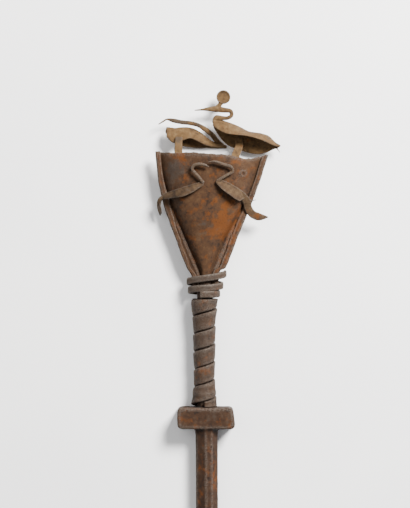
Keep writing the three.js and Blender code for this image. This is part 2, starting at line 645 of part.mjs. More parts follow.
add('front_right_bird', frontRightBird(), iron(0x6a5743, 0.65));
add('front_left_bird', frontLeftBird(), iron(0x6a5743, 0.65));

const laid = new THREE.Group();
staff.rotation.x = layAngle;
laid.add(staff);
laid.updateMatrixWorld(true);
const box = new THREE.Box3().setFromObject(laid, true);
laid.position.set(-(box.min.x + box.max.x) / 2, -(box.min.y + box.max.y) / 2, -box.min.z);

export default laid;
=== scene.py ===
"""Osanyin staff of rusty forged iron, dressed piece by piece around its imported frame.

Each piece is drawn in millimetres on the staff's own axis, with +Y up the staff, +Z to the front and the
origin on top of the cross bar. STAFF_TO_FRAME then lays it on its back, in metres.
"""

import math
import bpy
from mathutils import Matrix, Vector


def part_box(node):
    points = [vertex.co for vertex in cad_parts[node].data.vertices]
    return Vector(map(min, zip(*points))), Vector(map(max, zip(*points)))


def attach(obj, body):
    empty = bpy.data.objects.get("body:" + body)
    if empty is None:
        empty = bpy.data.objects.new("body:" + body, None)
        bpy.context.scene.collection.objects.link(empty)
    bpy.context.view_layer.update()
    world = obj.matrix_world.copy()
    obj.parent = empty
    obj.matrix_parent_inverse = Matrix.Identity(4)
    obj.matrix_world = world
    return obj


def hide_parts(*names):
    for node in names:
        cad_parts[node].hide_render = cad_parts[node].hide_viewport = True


bl_info = {
    "name": "Osanyin Staff",
    "version": (1, 0, 0),
    "blender": (4, 5, 0),
    "location": "View3D > Sidebar > Staff",
    "description": "Forges, winds and folds an iron osanyin staff with four birds, and sets its studio",
    "category": "Add Mesh",
}

import bmesh
import bpy
import numpy as np
from mathutils import Matrix, Vector

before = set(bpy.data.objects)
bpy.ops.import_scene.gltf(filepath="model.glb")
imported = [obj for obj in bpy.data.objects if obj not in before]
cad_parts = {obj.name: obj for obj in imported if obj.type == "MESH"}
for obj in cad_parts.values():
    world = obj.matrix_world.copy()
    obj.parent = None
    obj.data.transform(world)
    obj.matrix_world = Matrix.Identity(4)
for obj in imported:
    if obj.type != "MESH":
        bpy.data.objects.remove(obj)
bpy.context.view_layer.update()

# Where the staff lies: its back touches the floor behind the cross bar and behind the shaft
REST_BAR = (-9.7, -12.1)
REST_SHAFT = (-250.0, -9.8)
BAR_LEFT = -26.8
SHAFT_END = -349.4
LAY_ANGLE = math.atan2(REST_SHAFT[1] - REST_BAR[1], REST_BAR[0] - REST_SHAFT[0])

# Sizes that the pieces share, in millimetres
CORE_RADIUS = 7.5
HEAD_FOOT = 110.0
HEAD_FLARE = 126.2
HEAD_MOUTH = 228.0
HEAD_GAUGE = 1.7
FOLD_RADIUS = 1.1
BIRD_GAUGE = 1.4
EDGE_GAUGE = 0.35
CREST_RADIUS = 6.4
CLEARANCE = 0.3


def staff_to_frame():
    """The matrix from the staff's own axis, in millimetres, to the frame, in metres."""
    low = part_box("shaft")[0]
    turn = Matrix.Rotation(LAY_ANGLE, 4, "X")
    floor_point = turn @ Vector((0, REST_BAR[0], REST_BAR[1]))
    end = turn @ Vector((0, SHAFT_END, 4.6))
    origin = Vector((low.x * 1000 - BAR_LEFT, low.y * 1000 - end.y, -floor_point.z))
    return Matrix.Scale(0.001, 4) @ Matrix.Translation(origin) @ turn


STAFF_TO_FRAME = staff_to_frame()


# Curves through measured knots


def curve_through(knots):
    """A smooth curve of one value through a few (place, value) knots, level beyond its ends."""
    places = np.array([k[0] for k in knots], float)
    values = np.array([k[1] for k in knots], float)
    slopes = np.gradient(values, places) if len(knots) > 2 else np.full(2, np.ptp(values) / np.ptp(places))
    for i in range(1, len(knots) - 1):
        before, after = values[i] - values[i - 1], values[i + 1] - values[i]
        slopes[i] = 0 if before * after <= 0 else (before + after) / (places[i + 1] - places[i - 1])
    for i in (0, -1):
        slopes[i] = (values[1] - values[0]) / (places[1] - places[0]) if i == 0 else (
            (values[-1] - values[-2]) / (places[-1] - places[-2]))

    def value_at(place):
        x = np.clip(np.asarray(place, float), places[0], places[-1])
        i = np.clip(np.searchsorted(places, x, side="right") - 1, 0, len(places) - 2)
        width = places[i + 1] - places[i]
        t = (x - places[i]) / width
        s = t * t * (3 - 2 * t)
        bend = width * (slopes[i] * t * (1 - t) ** 2 + slopes[i + 1] * t * t * (t - 1))
        return values[i] * (1 - s) + values[i + 1] * s + bend

    return value_at


def path_through(points):
    """A smooth path through points: its place and its direction at shares from 0 to 1."""
    p = np.array(points, float)
    ends = np.vstack([2 * p[0] - p[1], p, 2 * p[-1] - p[-2]])

    def place(share):
        along = np.clip(np.asarray(share, float), 0, 1) * (len(p) - 1)
        i = np.minimum(along.astype(int), len(p) - 2)
        w = (along - i)[..., None]
        a, b, c, d = (ends[i + k] for k in range(4))
        step = [np.maximum(np.linalg.norm(v - u, axis=-1, keepdims=True), 1e-6) ** 0.5
                for u, v in ((a, b), (b, c), (c, d))]
        start = ((b - a) / step[0] - (c - a) / (step[0] + step[1]) + (c - b) / step[1]) * step[1]
        end = ((c - b) / step[1] - (d - b) / (step[1] + step[2]) + (d - c) / step[2]) * step[1]
        cubic = 2 * b - 2 * c + start + end
        square = -3 * b + 3 * c - 2 * start - end
        return b + start * w + square * w ** 2 + cubic * w ** 3

    def ahead(share):
        low = np.clip(np.asarray(share, float) - 1e-4, 0, 1)
        high = np.clip(np.asarray(share, float) + 1e-4, 0, 1)
        way = place(high) - place(low)
        return way / np.linalg.norm(way, axis=-1, keepdims=True)

    return place, ahead


# Meshes


def grid_faces(rows, columns, first=0, closed=False):
    """Quads over a grid of rows by columns points, numbered row by row from first."""
    j, i = np.meshgrid(np.arange(rows - 1), np.arange(columns if closed else columns - 1), indexing="ij")
    nxt = (i + 1) % columns
    quads = np.stack([j * columns + i, j * columns + nxt, (j + 1) * columns + nxt, (j + 1) * columns + i], -1)
    return (quads.reshape(-1, 4) + first).tolist()


def mesh_of(points, faces):
    """A mesh of points and faces, with every face turned outwards."""
    mesh = bpy.data.meshes.new("drawn")
    mesh.from_pydata(np.asarray(points).tolist(), [], faces)
    return mended(mesh)


def mended(mesh, merge=1e-4):
    """The mesh with its doubles merged and its faces turned outwards."""
    work = bmesh.new()
    work.from_mesh(mesh)
    bmesh.ops.remove_doubles(work, verts=work.verts, dist=merge)
    bmesh.ops.recalc_face_normals(work, faces=work.faces)
    work.to_mesh(mesh)
    work.free()
    return mesh


def loft(rings):
    """A closed body over rings of points, with a fan at both ends."""
    count, sides, _ = rings.shape
    points = np.vstack([rings.reshape(-1, 3), rings[0].mean(0), rings[-1].mean(0)])
    faces = grid_faces(count, sides, closed=True)
    for ring, tip in ((0, count * sides), (count - 1, count * sides + 1)):
        faces += [[ring * sides + k, ring * sides + (k + 1) % sides, tip] for k in range(sides)]
    return points, faces


def sheet(grid, gauge, rim=2):
    """A closed sheet over a grid of points on its middle, with its rim rounded over a few rows. Its gauge is
    even, or given row by row."""
    rows, columns, _ = grid.shape
    across = np.gradient(grid, axis=1)
    along = np.gradient(grid, axis=0)
    normal = np.cross(across, along)
    normal /= np.maximum(np.linalg.norm(normal, axis=-1, keepdims=True), 1e-9)
    inset = np.minimum.outer(np.minimum(np.arange(rows), np.arange(rows)[::-1]),
                             np.minimum(np.arange(columns), np.arange(columns)[::-1]))
    rounding = np.sqrt(1 - (1 - np.clip((inset + 0.25) / (rim + 0.25), 0, 1)) ** 2)
    half = normal * (np.asarray(gauge).reshape(-1, 1) / 2 * rounding)[..., None]
    points = np.vstack([(grid + half).reshape(-1, 3), (grid - half).reshape(-1, 3)])
    under = rows * columns
    faces = grid_faces(rows, columns) + [f[::-1] for f in grid_faces(rows, columns, under)]
    loop = [i for i in range(columns)] + [j * columns + columns - 1 for j in range(1, rows)]
    loop += [(rows - 1) * columns + i for i in range(columns - 2, -1, -1)]
    loop += [j * columns for j in range(rows - 2, 0, -1)]
    faces += [[a, under + a, under + b, b] for a, b in zip(loop, loop[1:] + loop[:1])]
    return points, faces


def strip(stops, steps, squareness=1.0, turn=0.0, sides=16):
    """A closed bar along stops of (x, y, z, half width, half depth), turned about its path by some degrees."""
    place, ahead = path_through([s[:3] for s in stops])
    share = np.linspace(0, 1, steps + 1)
    line, way = place(share), ahead(share)
    side = np.cross(way, (0, 0, 1))
    side /= np.linalg.norm(side, axis=1, keepdims=True)
    up = np.cross(side, way)
    twist = math.radians(turn)
    side, up = side * math.cos(twist) - up * math.sin(twist), up * math.cos(twist) + side * math.sin(twist)
    numbers = np.arange(len(stops))
    width = curve_through(list(zip(numbers, [s[3] for s in stops])))(share * (len(stops) - 1))
    depth = curve_through(list(zip(numbers, [s[4] for s in stops])))(share * (len(stops) - 1))
    angle = -(np.arange(sides) + 0.5) * 2 * math.pi / sides
    reach = [np.sign(v) * np.abs(v) ** squareness for v in (np.cos(angle), np.sin(angle))]
    rings = (line[:, None] + side[:, None] * (width[:, None] * reach[0])[..., None]
             + up[:, None] * (depth[:, None] * reach[1])[..., None])
    return loft(rings)


def folded_leaf(spine, near_edge, far_edge, cup=0.0, rows=72, columns=14):
    """A leaf folded along its spine, with one wing down to its near edge and one to its far edge. The three are
    paths through points, and the near wing swells towards the viewer by its cup."""
    share = np.linspace(0, 1, rows + 1)
    fold, near, far = (path_through(points)[0](share)[:, None] for points in (spine, near_edge, far_edge))
    out = np.linspace(1, 0, columns)[None, :, None]
    back_out = out[:, -2::-1]
    swell = 4 * cup * np.array((0, 0.6, 0.8))
    near_wing = fold + (near - fold) * out + swell * out * (1 - out)
    far_wing = fold + (far - fold) * back_out
    narrowest = np.minimum(*(np.linalg.norm(edge - fold, axis=-1)[:, 0] for edge in (near, far)))
    gauge = np.clip(EDGE_GAUGE * (1 + narrowest), 0.75, BIRD_GAUGE)
    return sheet(np.concatenate([near_wing, far_wing], axis=1), gauge)


def joined(*bodies):
    """One mesh of several closed bodies."""
    points, faces = [], []
    for body_points, body_faces in bodies:
        first = sum(len(p) for p in points)
        points.append(np.asarray(body_points))
        faces += [[first + k for k in face] for face in body_faces]
    return mesh_of(np.vstack(points), faces)


def evaluated(mesh, prepare):
    """The mesh that comes out of an object's modifiers, which prepare adds to it."""
    holder = bpy.data.objects.new("holder", mesh)
    bpy.context.scene.collection.objects.link(holder)
    prepare(holder)
    graph = bpy.context.evaluated_depsgraph_get()
    result = bpy.data.meshes.new_from_object(holder.evaluated_get(graph))
    bpy.data.objects.remove(holder)
    return result


def fused(mesh, grain, smoothing):
    """Overlapping bodies forged into one skin of even quads, with its edges rounded."""

    def prepare(holder):
        remesh = holder.modifiers.new("fuse", "REMESH")
        remesh.mode = "VOXEL"
        remesh.voxel_size = grain
        smooth = holder.modifiers.new("round", "SMOOTH")
        smooth.factor = 0.5
        smooth.iterations = smoothing

    return evaluated(mesh, prepare)


# Node trees


class Field:
    """A number in a node tree. Arithmetic on it adds Math nodes to the tree."""

    def __init__(self, tree, socket):
        self.tree = tree
        self.socket = socket

    def math(self, operation, *others):
        node = self.tree.nodes.new("ShaderNodeMath")
        node.operation = operation
        for slot, value in zip(node.inputs, (self, *others)):
            if isinstance(value, Field):
                self.tree.links.new(value.socket, slot)
            else:
                slot.default_value = value
        return Field(self.tree, node.outputs[0])

    def __add__(self, other):
        return self.math("ADD", other)

    def __sub__(self, other):
        return self.math("SUBTRACT", other)

    def __rsub__(self, other):
        return self.math("MULTIPLY", -1.0).math("ADD", other)

    def __mul__(self, other):
        return self.math("MULTIPLY", other)

    def __truediv__(self, other):
        return self.math("DIVIDE", other)

    __radd__ = __add__
    __rmul__ = __mul__

    def clamp(self, low=0.0, high=1.0):
        return self.math("MAXIMUM", low).math("MINIMUM", high)

    def between(self, low, high):
        """0 below low, 1 above high and a smooth step from one to the other."""
        node = self.tree.nodes.new("ShaderNodeMapRange")
        node.interpolation_type = "SMOOTHSTEP"
        self.tree.links.new(self.socket, node.inputs["Value"])
        node.inputs["From Min"].default_value = low
        node.inputs["From Max"].default_value = high
        return Field(self.tree, node.outputs["Result"])

    def through(self, knots, corners=False):
        """The value at this place of a curve through (place, value) knots."""
        places = [k[0] for k in knots]
        values = [k[1] for k in knots]
        low, span = min(values), (max(values) - min(values)) or 1.0
        node = self.tree.nodes.new("ShaderNodeFloatCurve")
        line = node.mapping.curves[0]
        while len(line.points) < len(knots):
            line.points.new(0.5, 0.5)
        for point, (place, value) in zip(line.points, knots):
            point.location = ((place - places[0]) / (places[-1] - places[0]), (value - low) / span)
            point.handle_type = "VECTOR" if corners else "AUTO_CLAMPED"
        node.mapping.update()
        share = (self - places[0]) / (places[-1] - places[0])
        self.tree.links.new(share.clamp().socket, node.inputs["Value"])
        return Field(self.tree, node.outputs["Value"]) * span + low


class GeometryTree:
    """A Geometry Nodes tree with named inputs, a geometry that steps through it and Set Material at its end."""

    def __init__(self, name, sizes, seed, takes_mesh):
        self.tree = bpy.data.node_groups.new(name, "GeometryNodeTree")
        face = self.tree.interface
        if takes_mesh:
            face.new_socket("Geometry", in_out="INPUT", socket_type="NodeSocketGeometry")
        self.identifiers = {}
        for label, value in sizes.items():
            socket = face.new_socket(label, in_out="INPUT", socket_type="NodeSocketFloat")
            socket.default_value = value
            self.identifiers[label] = socket.identifier
        socket = face.new_socket("Seed", in_out="INPUT", socket_type="NodeSocketFloat")
        socket.default_value = seed
        self.identifiers["Seed"] = socket.identifier
        socket = face.new_socket("Material", in_out="INPUT", socket_type="NodeSocketMaterial")
        self.identifiers["Material"] = socket.identifier
        face.new_socket("Geometry", in_out="OUTPUT", socket_type="NodeSocketGeometry")
        self.entry = self.tree.nodes.new("NodeGroupInput")
        self.geometry = self.entry.outputs["Geometry"] if takes_mesh else None

    def size(self, label):
        return Field(self.tree, self.entry.outputs[label])

    def node(self, kind, inputs=None, **settings):
        made = self.tree.nodes.new(kind)
        for key, value in settings.items():
            setattr(made, key, value)
        for key, value in (inputs or {}).items():
            if isinstance(value, Field):
                self.tree.links.new(value.socket, made.inputs[key])
            elif isinstance(value, bpy.types.NodeSocket):
                self.tree.links.new(value, made.inputs[key])
            else:
                made.inputs[key].default_value = value
        return made

    def step(self, kind, inputs=None, **settings):
        """Sends the geometry through one more node."""
        made = self.node(kind, inputs, **settings)
        entrance = next(s for s in made.inputs if s.type == "GEOMETRY")
        self.tree.links.new(self.geometry, entrance)
        self.geometry = next(s for s in made.outputs if s.type == "GEOMETRY")

    def vector(self, x, y, z):
        return self.node("ShaderNodeCombineXYZ", {"X": x, "Y": y, "Z": z}).outputs[0]

    def end(self):
        self.step("GeometryNodeRealizeInstances")
        self.step("GeometryNodeSetMaterial", {"Material": self.entry.outputs["Material"]})
        out = self.tree.nodes.new("NodeGroupOutput")
        self.tree.links.new(self.geometry, out.inputs["Geometry"])
        return self

    def run(self, mesh, **values):
        """The plain mesh that the tree makes of a mesh, or of nothing."""
        start = mesh or bpy.data.meshes.new("seedling")

        def prepare(holder):
            modifier = holder.modifiers.new("tree", "NODES")
            modifier.node_group = self.tree
            for label, value in values.items():
                modifier[self.identifiers[label]] = value

        return evaluated(start, prepare)


def swept_grid(made, around, along):
    """Starts a tree with a grid to be rolled up: returns the share round its section and along its length."""
    grid = made.node("GeometryNodeMeshGrid", {"Vertices X": around, "Vertices Y": along})
    made.geometry = grid.outputs["Mesh"]
    place = made.node("ShaderNodeSeparateXYZ", {"Vector": made.node("GeometryNodeInputPosition").outputs[0]})
    return Field(made.tree, place.outputs["X"]) + 0.5, Field(made.tree, place.outputs["Y"]) + 0.5


def noise_field(made, vector, size, seed, detail=2.0, roughness=0.5):
    scale = (1.0 / size) if not isinstance(size, Field) else size.math("POWER", -1.0)
    inputs = {"Scale": scale, "Detail": detail, "Roughness": roughness, "W": seed}
    if vector is not None:
        inputs["Vector"] = vector
    made_noise = made.node("ShaderNodeTexNoise", inputs, noise_dimensions="4D")
    return Field(made.tree, made_noise.outputs[0])


# Finish of forged iron

FINISH = {}


def forge_skin_tree():
    """Hammer marks, rust pits and scale over a mesh in millimetres, with what stands out stored as relief."""
    made = GeometryTree("Forge Skin", {
        "Hammer Depth": 0.3,
        "Hammer Size": 8.0,
        "Pit Depth": 0.16,
        "Pit Size": 1.6,
        "Scale Depth": 0.07,
    }, seed=1.0, takes_mesh=True)
    place = made.node("GeometryNodeInputPosition").outputs[0]
    seed = made.size("Seed")
    hammer = noise_field(made, place, made.size("Hammer Size"), seed, 1.0) - 0.5
    pits = noise_field(made, place, made.size("Pit Size"), seed + 7.3, 2.0, 0.6).between(0.56, 0.72)
    patches = noise_field(made, place, 11.0, seed + 3.1, 2.0).between(0.4, 0.62)
    scale = noise_field(made, place, 2.6, seed + 11.9, 4.0, 0.62) - 0.5
    depth = (hammer * made.size("Hammer Depth") * 2.0 + scale * made.size("Scale Depth") * 2.0
             - pits * patches * made.size("Pit Depth"))
    normal = made.node("GeometryNodeInputNormal").outputs[0]
    push = made.node("ShaderNodeVectorMath", {0: normal}, operation="SCALE")
    made.tree.links.new(depth.socket, push.inputs["Scale"])
    made.step("GeometryNodeSetPosition", {"Offset": push.outputs[0]})
    later = made.node("GeometryNodeInputPosition").outputs[0]
    for label, rounds in (("relief", 4), ("edge", 24)):
        blur = made.node("GeometryNodeBlurAttribute", {"Iterations": rounds}, data_type="FLOAT_VECTOR")
        value = next(s for s in blur.inputs if s.type == "VECTOR" and s.enabled)
        made.tree.links.new(later, value)
        blurred = next(s for s in blur.outputs if s.type == "VECTOR" and s.enabled)
        lift = made.node("ShaderNodeVectorMath", {0: later, 1: blurred}, operation="SUBTRACT")
        dot = made.node("ShaderNodeVectorMath", {0: lift.outputs[0], 1: normal}, operation="DOT_PRODUCT")
        store = made.node("GeometryNodeStoreNamedAttribute", {"Name": label}, data_type="FLOAT", domain="POINT")
        made.tree.links.new(made.geometry, store.inputs["Geometry"])
        slot = next(s for s in store.inputs if s.name == "Value" and s.enabled)
        made.tree.links.new(dot.outputs["Value"], slot)
        made.geometry = store.outputs["Geometry"]
    return made.end()


def painted(mesh, label, spots, base=0.0):
    """Stores a named tone on the mesh from soft spots of (x, y, radius, amount), seen from the front."""
    place = np.empty(len(mesh.vertices) * 3, np.float32)
    mesh.vertices.foreach_get("co", place)
    x, y, _ = place.reshape(-1, 3).T
    tone = np.full(len(x), base, np.float32)
    for spot_x, spot_y, radius, amount in spots:
        tone += amount * np.exp(-((x - spot_x) ** 2 + (y - spot_y) ** 2) / radius ** 2)
    store(mesh, label, tone)


def store(mesh, label, values):
    layer = mesh.attributes.get(label) or mesh.attributes.new(label, "FLOAT", "POINT")
    layer.data.foreach_set("value", np.asarray(values, np.float32))


# The studio light is bright, so a surface takes this share of the colour that it shows on screen, and the
# screen takes some colour away
ALBEDO_SHARE = 0.2
COLOUR_BOOST = 1.25


def albedo(red, green, blue):
    """The shader's colour for a surface that looks like this on screen, 0 to 255."""
    parts = [c / 255 for c in (red, green, blue)]
    parts = [c / 12.92 if c <= 0.04045 else ((c + 0.055) / 1.055) ** 2.4 for c in parts]
    grey = sum(parts) / 3
    return tuple(ALBEDO_SHARE * max(grey + (c - grey) * COLOUR_BOOST, 0.002) for c in parts)


class ShaderTree:
    """The nodes of one rusty iron material, in a few named steps."""

    def __init__(self, name):
        self.material = bpy.data.materials.new(name)
        self.material.use_nodes = True
        self.tree = self.material.node_tree
        self.shader = self.tree.nodes["Principled BSDF"]
        self.shader.inputs["Specular IOR Level"].default_value = 0.2
        self.coordinates = self.tree.nodes.new("ShaderNodeTexCoord").outputs["Object"]

    def noise(self, size, detail=3.0, roughness=0.55, offset=0.0):
        """Noise whose largest blobs are about size millimetres."""
        shift = self.tree.nodes.new("ShaderNodeMapping")
        shift.inputs["Location"].default_value = (offset, offset * 0.37, -offset * 0.61)
        self.tree.links.new(self.coordinates, shift.inputs["Vector"])
        node = self.tree.nodes.new("ShaderNodeTexNoise")
        node.inputs["Scale"].default_value = 1000 / size
        node.inputs["Detail"].default_value = detail
        node.inputs["Roughness"].default_value = roughness
        self.tree.links.new(shift.outputs[0], node.inputs["Vector"])
        return Field(self.tree, node.outputs[0])

    def tone(self, label):
        node = self.tree.nodes.new("ShaderNodeAttribute")
        node.attribute_name = label
        return Field(self.tree, node.outputs["Fac"])

    def mix(self, share, first, second, blend="MIX"):
        node = self.tree.nodes.new("ShaderNodeMix")
        node.data_type = "RGBA"
        node.blend_type = blend
        colours = [s for s in node.inputs if s.type == "RGBA"]
        for slot, value in zip(colours, (first, second)):
            if isinstance(value, bpy.types.NodeSocket):
                self.tree.links.new(value, slot)
            else:
                slot.default_value = (*value, 1)
        factor = next(s for s in node.inputs if s.name == "Factor" and s.type == "VALUE")
        if isinstance(share, Field):
            self.tree.links.new(share.socket, factor)
        else:
            factor.default_value = share
        return next(s for s in node.outputs if s.type == "RGBA")

    def bump(self, height, strength, distance):
        node = self.tree.nodes.new("ShaderNodeBump")
        node.inputs["Strength"].default_value = strength
        node.inputs["Distance"].default_value = distance
        self.tree.links.new(height.socket, node.inputs["Height"])
        self.tree.links.new(node.outputs[0], self.shader.inputs["Normal"])

    def finish(self, colour, roughness, metallic):
        self.tree.links.new(colour, self.shader.inputs["Base Color"])
        self.tree.links.new(roughness.socket, self.shader.inputs["Roughness"])
        self.tree.links.new(metallic.socket, self.shader.inputs["Metallic"])
        return self.material


def rusty_iron(name, tones, orange=0.25, grey=0.3, wear=0.5, grain=1.0):
    """Iron under rust: three browns, patches of orange and grey, painted shade darkening its hollows and recesses,
    and edges worn to the metal.
    tones are the dark, middle and light brown."""
    dark, brown, light = (albedo(*t) for t in tones)
    made = ShaderTree(name)
    broad = made.noise(17, 3, 0.6)
    middling = made.noise(4.5 * grain, 5, 0.62, 3.0)
    fine = made.noise(0.9 * grain, 4, 0.6, 9.0)
    blotch = made.noise(7.5, 4, 0.65, 5.0)
    mottle = middling * 0.6 + broad * 0.4
    colour = made.mix(mottle.between(0.34, 0.5), dark, brown)
    colour = made.mix(mottle.between(0.48, 0.68) * 0.75, colour, light)
    rust = (blotch + made.tone("rust")).between(0.66 - orange * 0.4, 0.86 - orange * 0.4)
    colour = made.mix(rust * 0.75, colour, albedo(*COLOURS["orange"]))
    patina = (broad * 0.5 + middling * 0.5 + made.tone("patina")).between(0.66 - grey * 0.3, 0.82 - grey * 0.3)
    colour = made.mix(patina * 0.7, colour, albedo(*COLOURS["grey"]))
    colour = made.mix(fine.between(0.56, 0.7) * 0.35, colour, light)
    colour = made.mix(fine.between(0.46, 0.34) * 0.4, colour, dark)
    # Painted shade: the colour darkens towards near black in small hollows and in broad recesses, where shade falls
    hollow = (made.tone("relief") * -1.0).between(0.0, 0.09)
    recess_shade = (made.tone("edge") * -1.0).between(0.05, 0.55)
    colour = made.mix(hollow * 0.5, colour, albedo(*COLOURS["painted_shade"]))
    colour = made.mix(recess_shade * 0.8, colour, albedo(*COLOURS["painted_shade"]))
    raised = made.tone("edge").between(0.05, 0.4) * fine.between(0.4, 0.6) * wear
    colour = made.mix(raised, colour, albedo(*COLOURS["worn"]))
    shine = made.tone("shine").clamp()
    roughness = 0.86 - raised * 0.3 - shine * 0.35 + (fine - 0.5) * 0.25
    metallic = raised * 0.5 + shine * 0.25
    made.bump(fine * 0.6 + middling * 0.5, 0.55, 0.0004)
    return made.finish(colour, roughness.clamp(0.3, 1.0), metallic)


# Colours as they look on screen, 0 to 255
COLOURS = {
    "orange": (158, 96, 48),
    "grey": (92, 84, 78),
    # near-black painted shade for hollows and recesses
    "painted_shade": (26, 19, 14),
    "worn": (168, 156, 146),
}


def dressed(name, mesh, nodes, slot, material, skin, tones=(), seed=1.0):
    """Gives a drawn mesh its forged skin and finish, lays it in the frame, hangs it on the root and hides the frame's
    parts that it stands for.
    """
    if "skin" not in FINISH:
        FINISH["skin"] = forge_skin_tree()
    result = FINISH["skin"].run(mesh, Seed=seed, Material=material, **skin)
    for label in ("rust", "patina", "shine"):
        spots = [t[1:] for t in tones if t[0] == label]
        painted(result, label, spots)
    result.transform(STAFF_TO_FRAME)
    result.name = name
    result.polygons.foreach_set("use_smooth", [True] * len(result.polygons))
    piece = bpy.data.objects.new(name, result)
    bpy.context.scene.collection.objects.link(piece)
    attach(piece, "root")
    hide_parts(*nodes)
    return piece


# Shaft and cross bar


def forge_shaft(sizes):
    """The square shaft and its cross bar, forged in one: a copy of the frame's solid with softened edges."""
    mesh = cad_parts["shaft"].data.copy()
    mesh.transform(STAFF_TO_FRAME.inverted())
    body = fused(mended(mesh, 1e-3), sizes.shaft_grain, 4)
    material = rusty_iron("forged bar iron", ((52, 36, 27), (86, 60, 43), (128, 100, 78)), 0.3, 0.35, 0.6)
    skin = {"Hammer Depth": 0.28, "Hammer Size": 9.0, "Pit Depth": 0.22, "Pit Size": 1.8}
    tones = [("rust", 6, -60, 14, 0.12), ("patina", 2, -10, 14, 0.08)]
    dressed("forged_shaft", body, ["shaft"], "shaft", material, skin, tones, 2.0)


# Grip

STAFF_LINE = ((-350, 1.6), (-90, 0.1), (-20, -0.5), (8, -2.2), (90, -2.4), (110, -0.9), (150, -1.2))
GRIP_RADIUS = ((0, 11.4), (7, 10.7), (12, 10.6), (18, 9.7), (32, 9.3), (46, 9.7), (75, 10.2), (90, 11.4), (100, 11.7))
GRIP_FLARE = ((0, 2.6), (3, 1.6), (9, 0))


def wound_grip_tree():
    """A strip of sheet wound up the tang and cut level at both ends, in millimetres."""
    made = GeometryTree("Wound Grip", {
        "Height": 97.7,
        "Pitch": 15.95,
        "First Seam": 6.1,
        "Seam Width": 0.8,
        "Seam Wander": 0.9,
        "Core Radius": CORE_RADIUS,
    }, seed=4.0, takes_mesh=False)
    around, along = swept_grid(made, 45, 760)
    turns = along * 8.0
    angle = turns * (2 * math.pi)
    wander = (noise_field(made, made.vector(turns * 2.2, 0.0, 0.0), 1.0, made.size("Seed"), 2.0) - 0.5)
    wander = wander * made.size("Seam Wander") * 2.0
    foot = made.size("First Seam") + made.size("Pitch") * (turns - 1.0) + wander
    head = foot + made.size("Pitch") - made.size("Seam Width")
    low = foot.math("MAXIMUM", CLEARANCE).math("MINIMUM", made.size("Height"))
    high = head.math("MAXIMUM", CLEARANCE).math("MINIMUM", made.size("Height"))
    share = around.through(((0, 0), (0.03, 0), (0.08, 0.03), (0.8, 0.97), (0.85, 1), (0.88, 1), (1, 0)), True)
    out = around.through(((0, 0), (0.04, 0.78), (0.08, 1), (0.79, 1), (0.83, 0.8), (0.88, 0), (1, 0)), True)
    height = low + (high - low) * share
    lift = share.through(((0, -0.75), (0.16, -0.05), (0.5, 0.12), (0.9, 0.4), (1, 0.1)))
    flare = height.through(GRIP_FLARE) * (angle.math("SINE") * -1.0).math("MAXIMUM", 0.0)
    dent = noise_field(made, made.vector(turns * 1.7, height * 0.05, 3.0), 0.7, made.size("Seed") + 2.0, 1.0) - 0.5
    outer = height.through(GRIP_RADIUS) + flare + lift + dent * 0.7
    radius = made.size("Core Radius") + (outer - made.size("Core Radius")) * out
    x = height.through(STAFF_LINE) + radius * angle.math("SINE")
    z = radius * angle.math("COSINE")
    made.step("GeometryNodeSetPosition", {"Position": made.vector(x, height, z)})
    made.step("GeometryNodeMergeByDistance", {"Distance": 0.01})
    return made.end()


def wind_grip(sizes):
    material = rusty_iron("wound strip iron", ((50, 37, 29), (88, 64, 47), (126, 102, 82)), 0.25, 0.4, 0.7, 0.8)
    mesh = mended(wound_grip_tree().run(None, **{"Pitch": sizes.grip_pitch}), 1e-3)
    skin = {"Hammer Depth": 0.18, "Hammer Size": 6.0, "Pit Depth": 0.16, "Pit Size": 1.3}
    tones = [("patina", 2, 60, 16, 0.1), ("rust", -8, 30, 12, 0.08), ("shine", 2, 50, 30, 0.35)]
    dressed("wound_grip", mesh, ["grip_wrap"], "grip_wrap", material, skin, tones, 5.0)


# Neck binding


def bound_neck_tree():
    """A thick strap wound a little over twice round the foot of the head, in millimetres."""
    made = GeometryTree("Bound Neck", {
        "Strap Height": 6.4,
        "Strap Gauge": 2.5,
        "Turns": 2.3,
    }, seed=6.0, takes_mesh=False)
    around, along = swept_grid(made, 37, 300)
    half = along * made.size("Turns") * 2.0
    angle = half * math.pi
    gauge, wide = made.size("Strap Gauge"), made.size("Strap Height")
    capped = (along.math("MINIMUM", 1.0 - along) * 299.0).clamp()
    height = half.through(((0, 120.4), (1, 113.4), (2, 109.6), (3, 105.6), (4, 102.3), (5, 101.8)))
    wander = noise_field(made, made.vector(half * 1.4, 0.0, 0.0), 1.0, made.size("Seed"), 1.0) - 0.5
    out = around.through(((0, 0.04), (0.24, 0.04), (0.36, 0.75), (0.44, 0.96), (0.62, 1), (0.8, 0.96), (0.88, 0.75),
                          (1, 0.04)))
    up = around.through(((0, -0.42), (0.05, -0.36), (0.24, 0.36), (0.3, 0.5), (0.36, 0.47), (0.44, 0.34),
                         (0.62, 0.0), (0.8, -0.34), (0.88, -0.47), (0.94, -0.5), (1, -0.42)), True)
    middle = 0.5 + (out - 0.5) * capped
    reach = 18.4 - half - gauge + gauge * middle
    depth = 10.2 + half * (2.4 / 4.6) - gauge + gauge * middle
    x = reach * angle.math("COSINE") - 0.6 - half * 0.45
    y = height + wander * 1.0 + wide * up * capped
    z = depth * angle.math("SINE")
    made.step("GeometryNodeSetPosition", {"Position": made.vector(x, y, z)})
    made.step("GeometryNodeMergeByDistance", {"Distance": 0.005})
    return made.end()


def bind_neck(sizes):
    material = rusty_iron("binding strap iron", ((54, 41, 33), (94, 72, 55), (140, 118, 98)), 0.2, 0.5, 0.8, 0.8)
    mesh = mended(bound_neck_tree().run(None, **{"Strap Gauge": sizes.strap_gauge}), 1e-3)
    skin = {"Hammer Depth": 0.16, "Hammer Size": 5.0, "Pit Depth": 0.14, "Pit Size": 1.2}
    tones = [("patina", 0, 112, 14, 0.12), ("shine", 0, 112, 14, 0.3)]
    dressed("bound_neck", mesh, ["neck_binding"], "neck_binding", material, skin, tones, 7.0)


# Head

